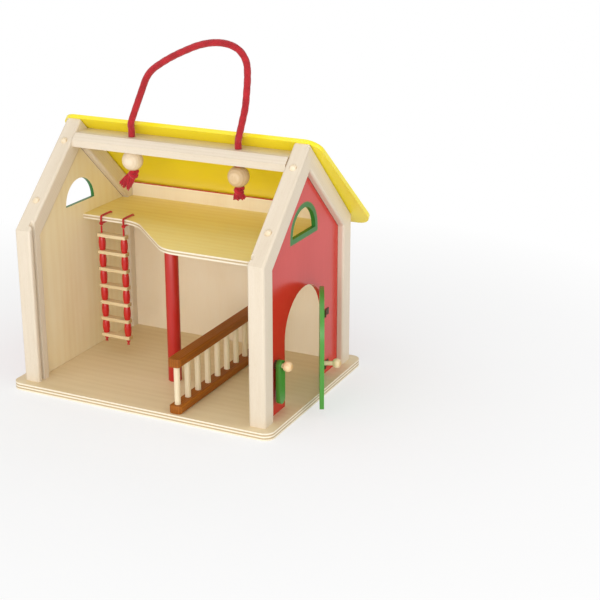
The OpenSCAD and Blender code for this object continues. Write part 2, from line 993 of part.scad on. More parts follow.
module door_leaf() {
    color(green)
        turned_door()
            difference() {
                yz_plate(panel_in, ply_t)
                    doorway_shape(door_gap);
                translate([panel_in - 1, jamb_y - knob_reach, knob_z])
                    rotate([0, 90, 0])
                        cylinder(r = knob_stem_d / 2 + fit, h = ply_t + 2);
                leaf_screw_places()
                    cylinder(r = small_screw_d / 2 + fit, h = 30, center = true);
            }
}

module door_knob() {
    color(wood)
        turned_door()
            translate([panel_in, jamb_y - knob_reach, knob_z])
                rotate([0, 90, 0])
                    union() {
                        cylinder(r = knob_stem_d / 2, h = ply_t + knob_out);
                        translate([0, 0, ply_t + knob_out])
                            sphere(knob_d / 2);
                    }
}

// Parts: turn latch

module latch_axis(x) {
    translate([x, latch_y, latch_z])
        rotate([0, 90, 0])
            children();
}

module latch_spacer() {
    color(wood)
        latch_axis(panel_out)
            difference() {
                cylinder(r = spacer_d / 2, h = latch_gap);
                translate([0, 0, -1])
                    cylinder(r = peg_stem_d / 2 + fit, h = latch_gap + 2);
            }
}

module latch_bar() {
    r = latch_w / 2;
    color(green)
        latch_axis(latch_x0)
            difference() {
                linear_extrude(latch_t)
                    union() {
                        circle(r);
                        translate([latch_l - latch_w, 0])
                            circle(r);
                        translate([0, -r])
                            square([latch_l - latch_w, latch_w]);
                    }
                translate([0, 0, -1])
                    cylinder(r = peg_stem_d / 2 + 0.08, h = latch_t + 2);
            }
}

module latch_peg() {
    ball_x = ply_t + latch_gap + latch_t + 0.4 + peg_ball_d / 2;
    color(wood)
        latch_axis(panel_in)
            union() {
                cylinder(r = peg_stem_d / 2, h = ball_x);
                translate([0, 0, ball_x])
                    sphere(peg_ball_d / 2);
            }
}

// Parts: rope ladder

module ladder_sides() {
    for (i = [-1, 1])
        translate([ladder_x0 + i * cord_pitch / 2, 0, 0])
            children();
}

// a quarter bend of cord in the YZ plane, from vertical to horizontal
module quarter_bend() {
    rotate([90, 0, 90])
        rotate_extrude(angle = 90)
            translate([bend_r, 0])
                circle(cord_r);
}

// each cord runs round the loft's edge: up through its hole, forward, down in
// front, and back below the loft to a knot that holds the hanging cord
module ladder_cord_loops() {
    y0 = cord_y + bend_r;
    y1 = cord_hole_y - bend_r;
    z0 = cord_top_z - bend_r;
    z1 = knot_z + bend_r;
    color(red)
        ladder_sides()
            union() {
                translate([0, y0, cord_top_z])
                    rotate([-90, 0, 0])
                        cylinder(r = cord_r, h = y1 - y0);
                translate([0, y1, z0])
                    quarter_bend();
                translate([0, y0, z0])
                    mirror([0, 1, 0])
                        quarter_bend();
                translate([0, cord_hole_y, z1])
                    cylinder(r = cord_r, h = z0 - z1);
                translate([0, y1, z1])
                    mirror([0, 0, 1])
                        quarter_bend();
                translate([0, cord_y, knot_z])
                    rotate([-90, 0, 0])
                        cylinder(r = cord_r, h = y1 - cord_y);
                translate([0, cord_y, knot_z])
                    cylinder(r = cord_r, h = z0 - knot_z);
                translate([0, cord_y, knot_z])
                    sphere(knot_r);
            }
}

// the hanging cords turn about the middle of their round upper ends
module ladder_cords() {
    color(red)
        ladder_sides()
            translate([0, cord_y, 0]) {
                translate([0, 0, pivot_z])
                    sphere(cord_r);
                translate([0, 0, cord_end_z - 2])
                    cylinder(r = cord_r, h = pivot_z - cord_end_z + 2);
                translate([0, 0, cord_end_z - end_knot_d / 2])
                    sphere(end_knot_d / 2);
            }
}

module ladder_rungs() {
    color(wood)
        for (k = [0:rung_n - 1])
            translate([0, cord_y, first_rung_z - k * rung_step - rung_t])
                difference() {
                    translate([ladder_x0, 0, 0])
                        linear_extrude(rung_t)
                            rounded(rung_l, rung_w, 2);
                    ladder_sides()
                        translate([0, 0, -1])
                            cylinder(r = cord_r + 0.1, h = rung_t + 2);
                }
}

module ladder_beads() {
    sag = 1.1;
    arc_r = (barrel_l * barrel_l / 4 + sag * sag) / (2 * sag);
    color([0.76, 0.18, 0.16])
        for (k = [0:rung_n - 2])
            ladder_sides()
                translate([0, cord_y, first_rung_z - rung_t - k * rung_step - barrel_l / 2])
                    rotate_extrude()
                        intersection() {
                            translate([cord_r + 0.1, -barrel_l / 2])
                                square([barrel_d / 2 - cord_r, barrel_l]);
                            translate([barrel_d / 2 - arc_r, 0])
                                circle(arc_r, $fn = 96);
                        }
}

base_plate();
left_front_post();
left_back_post();
right_front_post();
right_back_post();
left_front_rafter();
left_back_rafter();
right_front_rafter();
right_back_rafter();
left_gable_panel();
right_gable_panel();
back_wall();
roof_panel();
ridge_beam();
loft_floor();
loft_post();
stall_bottom_rail();
stall_top_rail();
stall_spindles();
front_roof_pegs();
rear_roof_pegs();
frame_dowels();
beam_dowels();
post_screws();
rail_screws();
wall_screws();
ladder_cord_loops();
latch_peg();
latch_spacer();
hinge_wall_plates();
hinge_pins();
hinge_wall_screws();
rope_handle();
left_handle_bead();
right_handle_bead();
left_rope_end();
right_rope_end();
door_leaf();
hinge_door_plates();
hinge_door_screws();
door_knob();
latch_bar();
ladder_cords();
ladder_rungs();
ladder_beads();
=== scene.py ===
import bpy
import bmesh
import math
import random
from mathutils import Matrix, Vector


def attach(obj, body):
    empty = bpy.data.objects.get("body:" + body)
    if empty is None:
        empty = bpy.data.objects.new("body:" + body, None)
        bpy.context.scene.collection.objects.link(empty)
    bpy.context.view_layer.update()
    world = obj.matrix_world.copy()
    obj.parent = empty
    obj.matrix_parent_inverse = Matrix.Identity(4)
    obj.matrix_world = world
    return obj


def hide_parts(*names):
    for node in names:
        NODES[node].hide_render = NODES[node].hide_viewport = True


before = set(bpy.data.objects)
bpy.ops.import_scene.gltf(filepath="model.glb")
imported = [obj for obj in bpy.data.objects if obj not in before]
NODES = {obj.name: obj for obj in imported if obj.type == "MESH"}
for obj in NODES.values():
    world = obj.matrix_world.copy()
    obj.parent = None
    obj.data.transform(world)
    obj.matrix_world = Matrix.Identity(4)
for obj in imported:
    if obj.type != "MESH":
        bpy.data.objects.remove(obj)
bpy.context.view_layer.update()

SCENE = bpy.context.scene

# The roof's pitch, the windows' sill and the top of the back wall's paint
PITCH = math.radians(43.35)
WINDOW_Z = 0.2005
WALL_RIM = 0.2012
# Inner faces of the posts, and of the rafters where they meet at the ridge
BAR_Y = 0.0925
BAR_Z = 0.2724
BASE_T = 0.009
LOFT_LOW = 0.179
LOFT_T = 0.0055
LOFT_TOP = LOFT_LOW + LOFT_T


# Camera

def make_camera():
    az = math.radians(25.74)
    el = math.radians(19.66)
    back = Vector((math.sin(az) * math.cos(el), -math.cos(az) * math.cos(el), math.sin(el)))
    right = Vector((math.cos(az), math.sin(az), 0))
    up = back.cross(right)
    data = bpy.data.cameras.new("camera")
    data.sensor_width = 36
    data.lens = 82.49
    data.clip_end = 20
    cam = bpy.data.objects.new("camera", data)
    SCENE.collection.objects.link(cam)
    m = Matrix((right, up, back)).transposed().to_4x4()
    m.translation = Vector((0.788, -1.3294, 0.6475))
    cam.matrix_world = m
    SCENE.camera = cam


make_camera()


# Node helpers

class Mat:
    """A material's node tree with short calls for the nodes used here."""

    def __init__(self, name):
        self.mat = bpy.data.materials.new(name)
        self.mat.use_nodes = True
        self.nt = self.mat.node_tree
        self.bsdf = self.nt.nodes["Principled BSDF"]
        self.coord = self.nt.nodes.new("ShaderNodeTexCoord")

    def node(self, kind, **props):
        n = self.nt.nodes.new(kind)
        for k, v in props.items():
            setattr(n, k, v)
        return n

    def put(self, value, socket):
        if isinstance(value, bpy.types.NodeSocket):
            self.nt.links.new(value, socket)
        elif value is not None:
            socket.default_value = value

    def math(self, op, a, b=None, clamp=False):
        n = self.node("ShaderNodeMath", operation=op, use_clamp=clamp)
        self.put(a, n.inputs[0])
        self.put(b, n.inputs[1])
        return n.outputs[0]

    def turned(self, rotation=(0, 0, 0), scale=(1, 1, 1), source=None):
        """Coordinates turned first and then scaled."""
        v = source or self.coord.outputs["Object"]
        if any(rotation):
            m = self.node("ShaderNodeMapping")
            m.inputs["Rotation"].default_value = rotation
            self.put(v, m.inputs["Vector"])
            v = m.outputs[0]
        m = self.node("ShaderNodeMapping")
        m.inputs["Scale"].default_value = scale
        self.put(v, m.inputs["Vector"])
        return m.outputs[0]

    def scaled(self, k):
        return self.turned(scale=(k, k, k))

    def noise(self, vector, scale=1.0, detail=3.0, rough=0.5, distort=0.0):
        n = self.node("ShaderNodeTexNoise")
        self.put(vector, n.inputs["Vector"])
        n.inputs["Scale"].default_value = scale
        n.inputs["Detail"].default_value = detail
        n.inputs["Roughness"].default_value = rough
        n.inputs["Distortion"].default_value = distort
        return n.outputs["Fac"]

    def wave(self, vector, scale, distort, detail, dscale, direction):
        n = self.node("ShaderNodeTexWave", bands_direction=direction)
        self.put(vector, n.inputs["Vector"])
        n.inputs["Scale"].default_value = scale
        n.inputs["Distortion"].default_value = distort
        n.inputs["Detail"].default_value = detail
        n.inputs["Detail Scale"].default_value = dscale
        return n.outputs["Fac"]

    def ramp(self, fac, *stops):
        n = self.node("ShaderNodeValToRGB")
        self.put(fac, n.inputs[0])
        e = n.color_ramp.elements
        while len(e) < len(stops):
            e.new(0.5)
        for item, (pos, colour) in zip(e, stops):
            item.position = pos
            item.color = rgba(colour)
        return n.outputs[0]

    def grey(self, fac, low, high, start=0.0, end=1.0):
        """Maps start..end to low..high, and no further."""
        n = self.node("ShaderNodeMapRange")
        self.put(fac, n.inputs["Value"])
        n.inputs["From Min"].default_value = start
        n.inputs["From Max"].default_value = end
        n.inputs["To Min"].default_value = low
        n.inputs["To Max"].default_value = high
        return n.outputs[0]

    def mix(self, fac, a, b, mode="MIX"):
        n = self.node("ShaderNodeMix", data_type="RGBA", blend_type=mode)
        self.put(fac, n.inputs[0])
        for value, socket in ((a, n.inputs[6]), (b, n.inputs[7])):
            self.put(rgba(value) if isinstance(value, tuple) else value, socket)
        return n.outputs[2]

    def pick(self, fac, a, b):
        """The value a where fac is 0, and b where it is 1."""
        n = self.node("ShaderNodeMix", data_type="FLOAT")
        for value, socket in ((fac, n.inputs[0]), (a, n.inputs[2]), (b, n.inputs[3])):
            self.put(value, socket)
        return n.outputs[0]

    def xyz(self, source=None):
        n = self.node("ShaderNodeSeparateXYZ")
        self.put(source or self.coord.outputs["Object"], n.inputs[0])
        return n.outputs

    def bump(self, height, strength, distance):
        n = self.node("ShaderNodeBump")
        n.inputs["Strength"].default_value = strength
        n.inputs["Distance"].default_value = distance
        self.put(height, n.inputs["Height"])
        return n.outputs[0]

    def finish(self, colour, rough, normal=None, coat=0.0, coat_rough=0.1, ior=1.45, sheen=0.0):
        self.put(colour, self.bsdf.inputs["Base Color"])
        self.put(rough, self.bsdf.inputs["Roughness"])
        self.put(normal, self.bsdf.inputs["Normal"])
        self.bsdf.inputs["Coat Weight"].default_value = coat
        self.bsdf.inputs["Coat Roughness"].default_value = coat_rough
        self.bsdf.inputs["IOR"].default_value = ior
        self.bsdf.inputs["Sheen Weight"].default_value = sheen
        return self.mat


def linear(c):
    c = c / 255
    return c / 12.92 if c <= 0.04045 else ((c + 0.055) / 1.055) ** 2.4


def rgba(c):
    return (linear(c[0]), linear(c[1]), linear(c[2]), 1.0)


# Turns the object's coordinates so that the grain runs along local X
ALONG = {
    "x": (0, 0, 0),
    "y": (0, 0, -math.pi / 2),
    "z": (0, math.pi / 2, 0),
}


def grain_vector(m, along):
    """Coordinates with the grain along X; back and front are the roof's slopes."""
    if along in ("back", "front"):
        lean = math.pi / 2 - PITCH
        tilt = m.turned((-lean if along == "back" else lean, 0, 0))
        return m.turned(ALONG["z"], source=tilt)
    return m.turned(ALONG[along])


def stretched(m, vector, along_scale, across_scale):
    n = m.node("ShaderNodeMapping")
    n.inputs["Scale"].default_value = (along_scale, across_scale, across_scale)
    m.put(vector, n.inputs["Vector"])
    return n.outputs[0]


RED = (206, 46, 37)
GREEN = (74, 148, 54)
YELLOW = (246, 226, 24)
BORDER_GREEN = (36, 114, 36)
PAINT_VARY = 5
GRAIN_DEPTH = 0.0002

# Woods: pale, middle and dark shades
BAR_WOOD = (232, 219, 200), (224, 210, 188), (212, 194, 168)
BASE_PLY = (240, 221, 184), (231, 210, 169), (216, 191, 145)
# The loft's shades are partly the ply's own colour and partly a painted yellow glow of light
# bounced from the roof
LOFT_PLY_ROOF_GLOW = (252, 236, 172), (246, 224, 144), (234, 205, 120)
GABLE_PLY = (250, 238, 204), (244, 228, 188), (234, 213, 168)
WALL_PLY = (250, 239, 217), (246, 231, 204), (237, 216, 180)
STAIN = (182, 110, 34), (154, 86, 20), (106, 56, 10)
SPINDLE_WOOD = (242, 228, 198), (232, 214, 178), (214, 190, 148)
PEG_WOOD = (246, 232, 208), (232, 212, 178), (206, 178, 138)
LEFT_BEAD_WOOD = (246, 232, 208), (236, 217, 188), (216, 188, 150)
RIGHT_BEAD_WOOD = (238, 214, 178), (222, 194, 152), (200, 166, 120)
BALL_WOOD = (250, 226, 184), (240, 206, 156), (218, 176, 122)
# The latch spacer's dark browns are painted shade, for the shadowed gap behind the latch bar
SPACER_SHADE_WOOD = (96, 66, 42), (78, 52, 32), (56, 36, 22)
KNOB_WOOD = (240, 222, 184), (226, 202, 156), (204, 172, 124)
RUNG_WOOD = (240, 222, 184), (226, 202, 156), (204, 174, 126)


def own_figure(m, along, seed):
    """Coordinates along the grain, moved so that pieces differ."""
    n = m.node("ShaderNodeMapping")
    n.inputs["Location"].default_value = (seed, seed * 0.7, seed * 1.3)
    m.put(grain_vector(m, along), n.inputs["Vector"])
    return n.outputs[0]


def wood_colour(m, along, shades, seed):
    """Colour and height of planed wood: soft bands, fibres and short pores."""
    v = own_figure(m, along, seed)
    broad = m.noise(stretched(m, v, 3, 40), 1, 3, 0.5, 0.6)
    bands = m.wave(stretched(m, v, 1.6, 110), 1.0, 4.0, 2.0, 0.6, "Y")
    fibres = m.noise(stretched(m, v, 45, 1500), 1, 4, 0.6)
    pores = m.noise(stretched(m, v, 240, 3600), 1, 2, 0.5)
    tone = m.math("ADD", m.math("MULTIPLY", broad, 0.50), m.math("MULTIPLY", bands, 0.14))
    tone = m.math("ADD", tone, m.math("MULTIPLY", fibres, 0.36))
    pale, mid, dark = shades
    colour = m.ramp(tone, (0.25, pale), (0.52, mid), (0.84, dark))
    flecks = m.ramp(pores, (0.60, (255, 255, 255)), (0.76, (222, 206, 182)))
    colour = m.mix(0.4, colour, flecks, "MULTIPLY")
    height = m.math("ADD", m.math("MULTIPLY", fibres, 0.7), m.math("MULTIPLY", pores, 0.3))
    return colour, height


def end_grain(m, along, colour):
    """Darkens and speckles the faces that cut across the grain."""
    axis = "xyz".find(along)
    if axis < 0:
        return colour
    n = m.math("ABSOLUTE", m.xyz(m.coord.outputs["Normal"])[axis])
    across = m.grey(n, 0.0, 1.0, 0.72, 0.92)
    rings = m.wave(m.scaled(1), 420, 3.0, 2.0, 60, "XYZ"[(axis + 1) % 3])
    specks = m.noise(m.scaled(2400), 1, 2)
    tone = m.math("ADD", m.math("MULTIPLY", rings, 0.5), m.math("MULTIPLY", specks, 0.5))
    cut = m.ramp(tone, (0.2, (206, 184, 152)), (0.8, (240, 226, 204)))
    return m.mix(across, colour, m.mix(1.0, colour, cut, "MULTIPLY"))


def solid_wood(name, along, shades, seed):
    m = Mat(name)
    colour, height = wood_colour(m, along, shades, seed)
    colour = end_grain(m, along, colour)
    normal = m.bump(height, 0.14, GRAIN_DEPTH)
    return m.finish(colour, m.grey(height, 0.42, 0.58), normal, 0.08, 0.35)


def ply_faces(m, along, shades, seed):
    """Rotary cut veneer: wide wandering figure with fine fibres."""
    v = own_figure(m, along, seed)
    figure = m.wave(stretched(m, v, 2.4, 26), 1.0, 7.0, 2.5, 0.8, "Y")
    cloud = m.noise(stretched(m, v, 4, 16), 1, 4, 0.55, 0.5)
    fibres = m.noise(stretched(m, v, 40, 1300), 1, 4, 0.6)
    tone = m.math("ADD", m.math("MULTIPLY", figure, 0.10), m.math("MULTIPLY", cloud, 0.60))
    tone = m.math("ADD", tone, m.math("MULTIPLY", fibres, 0.30))
    pale, mid, dark = shades
    return m.ramp(tone, (0.26, pale), (0.54, mid), (0.84, dark)), fibres


def ply_edge(m, start, thick, layers):
    """Alternating end-grain and side-grain veneers on a level board's edge."""
    k = m.math("DIVIDE", m.math("SUBTRACT", m.xyz()[2], start), thick)
    wobble = m.noise(m.scaled(220), 1, 2)
    k = m.math("ADD", k, m.math("MULTIPLY", m.math("SUBTRACT", wobble, 0.5), 0.035))
    wave = m.math("SINE", m.math("MULTIPLY", k, math.pi * layers))
    stripe = m.math("ADD", m.math("MULTIPLY", wave, 1.5), 0.5, clamp=True)
    speck = m.noise(m.scaled(1500), 1, 2)
    tone = m.math("ADD", m.math("MULTIPLY", stripe, 0.7), m.math("MULTIPLY", speck, 0.3))
    return m.ramp(tone, (0.12, (188, 162, 122)), (0.5, (226, 209, 177)), (0.9, (246, 236, 214)))


def facing(m, axis, sign=None):
    """1 where the surface faces along an axis, either way or one way."""
    n = m.xyz(m.coord.outputs["Normal"])[axis]
    if sign is None:
        return m.math("GREATER_THAN", m.math("ABSOLUTE", n), 0.6)
    return m.math("GREATER_THAN", m.math("MULTIPLY", n, sign), 0.6)


def ply_board(name, along, start, thick, layers, shades, seed):
    """A level plywood board, with its veneers on the edges."""
    m = Mat(name)
    face, fibres = ply_faces(m, along, shades, seed)
    colour = m.mix(facing(m, 2), ply_edge(m, start, thick, layers), face)
    normal = m.bump(fibres, 0.12, GRAIN_DEPTH)
    return m.finish(colour, m.grey(fibres, 0.38, 0.55), normal, 0.12, 0.3)


def paint_layer(m, colour, along="z"):
    """Paint that shows a trace of the grain below it."""
    v = grain_vector(m, along)
    cloud = m.noise(stretched(m, v, 12, 18), 1, 3)
    grain = m.noise(stretched(m, v, 30, 700), 1, 3, 0.55)
    low = tuple(max(0, c - PAINT_VARY) for c in colour)
    high = tuple(min(255, c + PAINT_VARY) for c in colour)
    tone = m.math("ADD", m.math("MULTIPLY", cloud, 0.7), m.math("MULTIPLY", grain, 0.3))
    return m.ramp(tone, (0.3, low), (0.7, high)), grain


def painted(name, colour, along, rough, coat, coat_rough):
    m = Mat(name)
    c, grain = paint_layer(m, colour, along)
    normal = m.bump(grain, 0.1, GRAIN_DEPTH)
    return m.finish(c, m.grey(grain, rough - 0.04, rough + 0.06), normal, coat, coat_rough)


def gable_board(name, sign):
    """Natural inside, red outside, with a green window border and jamb."""
    m = Mat(name)
    inner, fibres = ply_faces(m, "z", GABLE_PLY, 2.0 + sign)
    red, grain = paint_layer(m, RED)
    green, _ = paint_layer(m, BORDER_GREEN)
    _, y, z = m.xyz()[0:3]
    up = m.math("MAXIMUM", m.math("SUBTRACT", z, WINDOW_Z), 0.0)
    reach = m.math("SQRT", m.math("ADD", m.math("MULTIPLY", y, y), m.math("MULTIPLY", up, up)))
    ragged = m.math("SUBTRACT", m.noise(m.scaled(500), 1, 3), 0.5)
    ragged = m.math("MULTIPLY", ragged, 0.0016)
    inside = m.grey(m.math("ADD", reach, ragged), 1, 0, 0.0347, 0.0364)
    above = m.grey(m.math("ADD", z, ragged), 0, 1, WINDOW_Z - 0.0068, WINDOW_Z - 0.0053)
    border = m.math("MULTIPLY", inside, above)
    paint = m.mix(border, red, green)
    face = facing(m, 0, -sign)
    colour = m.mix(face, paint, inner)
    across = m.math("ABSOLUTE", y)
    slant = m.math("ADD", z, m.math("MULTIPLY", across, math.tan(PITCH)))
    # painted shade: a dark line along the posts and rafters, standing in for the shadow in the gap
    # where the panel meets them
    gap_shade = m.math("MAXIMUM", m.math("GREATER_THAN", across, BAR_Y - 0.0005),
                  m.math("GREATER_THAN", slant, BAR_Z - 0.0008))
    colour = m.mix(m.math("MULTIPLY", gap_shade, 0.75), colour, (70, 30, 14))
    rough = m.pick(face, m.grey(border, 0.2, 0.4), m.grey(fibres, 0.4, 0.58))
    normal = m.bump(m.pick(face, grain, fibres), 0.05, GRAIN_DEPTH)
    return m.finish(colour, rough, normal, 0.0, 0.05, 1.5)


def wall_board(name):
    """Natural in front, and red behind and along the top."""
    m = Mat(name)
    inner, fibres = ply_faces(m, "z", WALL_PLY, 5.0)
    red, _ = paint_layer(m, RED)
    face = m.math("MULTIPLY", facing(m, 1, -1), m.math("LESS_THAN", m.xyz()[2], WALL_RIM))
    rough = m.pick(face, 0.24, m.grey(fibres, 0.4, 0.58))
    normal = m.bump(fibres, 0.08, GRAIN_DEPTH)
    return m.finish(m.mix(face, red, inner), rough, normal, 0.15, 0.1, 1.5)


def stained(name, along):
    m = Mat(name)
    colour, height = wood_colour(m, along, STAIN, 3.0)
    m.bsdf.inputs["Specular IOR Level"].default_value = 0.25
    normal = m.bump(height, 0.12, GRAIN_DEPTH)
    return m.finish(colour, m.grey(height, 0.45, 0.6), normal, 0.0, 0.2)


def metal(name, colour, rough):
    m = Mat(name)
    spots = m.noise(m.scaled(900), 1, 3)
    low = tuple(int(c * 0.7) for c in colour)
    c = m.ramp(spots, (0.3, low), (0.7, colour))
    m.bsdf.inputs["Metallic"].default_value = 1.0
    return m.finish(c, m.grey(spots, rough - 0.08, rough + 0.1), m.bump(spots, 0.08, 0.0001))


def yarn(name, colour, dark):
    """Fibres of a textile cord, on top of its modelled lay."""
    m = Mat(name)
    fluff = m.noise(m.scaled(2600), 1, 3, 0.6)
    cloud = m.noise(m.scaled(140), 1, 2)
    tone = m.math("ADD", m.math("MULTIPLY", fluff, 0.6), m.math("MULTIPLY", cloud, 0.4))
    c = m.ramp(tone, (0.32, dark), (0.62, colour))
    return m.finish(c, 0.82, m.bump(fluff, 0.35, 0.0003), 0, 0.1, 1.4, 0.25)


# Shapes

def mesh_piece(name, verts, faces, material, body):
    me = bpy.data.meshes.new(name)
    me.from_pydata([tuple(v) for v in verts], [], faces)
    me.validate()
    me.update()
    me.polygons.foreach_set("use_smooth", [True] * len(me.polygons))
    me.materials.append(material)
    o = bpy.data.objects.new(name, me)
    SCENE.collection.objects.link(o)
    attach(o, body)
    return o


def smooth_path(points, step):
    """Catmull-Rom points through the given ones, about a step apart."""
    p = [Vector(q) for q in points]
    p = [p[0] * 2 - p[1]] + p + [p[-1] * 2 - p[-2]]
    out = []
    for i in range(1, len(p) - 2):
        n = max(1, round((p[i + 1] - p[i]).length / step))
        for k in range(n):
            t = k / n
            a, b, c, d = p[i - 1], p[i], p[i + 1], p[i + 2]
            out.append(0.5 * ((2 * b) + (c - a) * t + (2 * a - 5 * b + 4 * c - d) * t * t
                              + (3 * b - a - 3 * c + d) * t ** 3))
    out.append(p[-2])
    return out


def frames(path):
    """Unit vectors (u, v) square to the path that don't spin along it."""
    out = []
    t0 = (path[1] - path[0]).normalized()
    u = t0.orthogonal().normalized()
    for i, q in enumerate(path):
        a = path[max(i - 1, 0)]
        b = path[min(i + 1, len(path) - 1)]
        t = (b - a).normalized()
        u = (u - t * u.dot(t)).normalized()
        out.append((u, t.cross(u)))
    return out


def tube(path, radius, sides, relief=None):
    """Vertices and faces of a closed tube; relief(arc length, angle) scales it."""
    verts, faces = [], []
    f = frames(path)
    s = 0.0
    for i, q in enumerate(path):
        if i:
            s += (q - path[i - 1]).length
        u, v = f[i]
        r0 = radius(i / (len(path) - 1)) if callable(radius) else radius
        for k in range(sides):
            a = 2 * math.pi * k / sides
            r = r0 * (relief(s, a) if relief else 1.0)
            verts.append(q + (u * math.cos(a) + v * math.sin(a)) * r)
    for i in range(len(path) - 1):
        for k in range(sides):
            a = i * sides + k
            b = i * sides + (k + 1) % sides
            faces.append((a, b, b + sides, a + sides))
    faces.append(tuple(range(sides - 1, -1, -1)))
    faces.append(tuple(range((len(path) - 1) * sides, len(path) * sides)))
    return verts, faces


def joined(parts):
    verts, faces = [], []
    for v, f in parts:
        n = len(verts)
        verts += v
        faces += [tuple(i + n for i in q) for q in f]
    return verts, faces


def braid(pitch, strands, depth):
    """Relief of a round braided cord: two crossing sets of strands."""
    def relief(s, a):
        p = math.sin(strands * a + 2 * math.pi * s / pitch)
        q = math.sin(strands * a - 2 * math.pi * s / pitch)
        return 1 - depth + depth * max(p, q)
    return relief


def lay(pitch, strands, depth):
    """Relief of a laid cord: strands that wind one way."""
    def relief(s, a):
        return 1 - depth + depth * abs(math.cos(strands / 2 * (a - 2 * math.pi * s / pitch)))
    return relief


# Handle rope

ROPE = yarn("red_rope_yarn", (190, 32, 42), (140, 15, 24))
TIPS = yarn("red_rope_tips", (212, 34, 50), (132, 10, 22))
ROPE_R = 0.004
# The handle's route in mm, from the left hole in the beam to the right one
ROUTE = [
    (-68, -3.5, 289.2), (-68, -3.5, 297.2), (-66, -7, 306),
    (-61.5, -7.5, 317), (-56, -7.5, 330), (-50, -7, 344.5),
    (-43, -7, 360), (-35, -6.5, 370), (-22, -6.5, 379),
    (-7, -6.5, 387.5), (9, -6.5, 395), (25, -6.5, 401.5),
    (41, -6.5, 405.5), (56, -6.5, 406.4), (69, -6.5, 404),
    (79, -6.5, 398), (85.5, -6.5, 387), (86.5, -6.5, 372),
    (85.5, -7, 355), (83.5, -7, 338), (80, -7.5, 322.5),
    (75.5, -7, 306), (72, -3.5, 297.2), (72, -3.5, 289.2),
]


def make_handle():
    route = [Vector(p) / 1000 for p in ROUTE]
    path = smooth_path(route, 0.0009)
    verts, faces = tube(path, ROPE_R, 40, braid(0.011, 6, 0.055))
    o = mesh_piece("handle_rope_braid", verts, faces, ROPE, "barn")
    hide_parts("rope_handle")


make_handle()


ROPE_HOLE_Y = -0.0035
# Height inside the beam at which the handle's loop meets its two ends
ROPE_SEAM_Z = 0.2892
BEAD_R = 0.0125
STRANDS = 60
# Turn from one strand of a bunch to the next, which fills it evenly
GOLDEN = 2.39996


def rope_tail(name, node, x, bead_z, lean, reach, flare, seed):
    """Shank, overhand knot and frayed end below a bead."""
    rng = random.Random(seed)
    y = ROPE_HOLE_Y
    knot = Vector((x, y, bead_z - BEAD_R - ROPE_R))
    parts = []
    shank = [Vector((x, y, ROPE_SEAM_Z)), Vector((x, y, 0.275)), Vector((x, y, bead_z)), knot]
    parts.append(tube(smooth_path(shank, 0.0012), ROPE_R * 0.98, 32, braid(0.011, 6, 0.05)))
    loop = []
    for i in range(26):
        a = 2 * math.pi * 1.45 * i / 25
        r = 0.0036 + 0.0008 * math.sin(a * 1.5)
        loop.append(knot + Vector((r * math.cos(a), r * 0.9 * math.sin(a),
                                   0.0022 - 0.0052 * i / 25 + 0.0012 * math.sin(2 * a))))
    parts.append(tube(smooth_path(loop, 0.0009), 0.0029, 24, braid(0.009, 6, 0.08)))
    turn = Matrix.Rotation(math.radians(lean), 3, "Y")
    for i in range(STRANDS):
        t = (i + 0.5) / STRANDS
        a = i * GOLDEN
        r1 = flare * math.sqrt(t) * 0.98
        r0 = r1 * 0.55
        long = reach * (0.92 + 0.2 * rng.random())
        bend = 0.0009 * (rng.random() - 0.5)
        pts = []
        for k in range(7):
            f = k / 6
            r = r0 + (r1 - r0) * f ** 1.2
            swirl = a + 0.9 * f + 0.25 * math.sin(3 * f + i)
            pts.append(knot + turn @ Vector((r * math.cos(swirl) + bend * math.sin(4 * f),
                                             r * math.sin(swirl), -0.001 - (long - 0.001) * f)))
        parts.append(tube(smooth_path(pts, 0.0016), lambda f: 0.0010 * (1 - 0.3 * f), 7,
                          lay(0.003, 3, 0.12)))
    verts, faces = joined(parts)
    o = mesh_piece(name, verts, faces, TIPS, "barn")
    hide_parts(node)


rope_tail("left_rope_knot", "left_rope_end", -0.068, 0.2614, 38, 0.0185, 0.0082, 3)
rope_tail("right_rope_knot", "right_rope_end", 0.072, 0.2575, -8, 0.0090, 0.0078, 8)


# Ladder cords

CORD = yarn("ladder_yarn", (214, 34, 36), (150, 16, 18))
CORD_R = 0.00122
CORD_Y = 0.0013
# Middle of the ladder, and how far each cord lies to its side
LADDER_X = -0.104
CORD_SIDE = 0.01575
KNOT_Z = 0.1766
PIVOT_Z = 0.1728
CORD_END_Z = 0.0326


def bend(cy, cz, r, a0, a1):
    """Points (y, z) of a bend, between two angles in degrees."""
    return [(cy + r * math.cos(math.radians(a0 + (a1 - a0) * i / 5)),
             cz + r * math.sin(math.radians(a0 + (a1 - a0) * i / 5))) for i in range(6)]


def small_knot(x, y, z, coil, tall, turns):
    """A few turns of cord round a point, like a pulled overhand knot."""
    pts = []
    n = int(16 * turns)
    for i in range(n + 1):
        a = 2 * math.pi * turns * i / n
        pts.append(Vector((x + coil * math.cos(a), y + coil * math.sin(a),
                           z + tall * (0.5 - i / n) + 0.0003 * math.sin(2 * a))))
    return tube(smooth_path(pts, 0.0004), CORD_R * 0.95, 12, lay(0.0034, 3, 0.16))


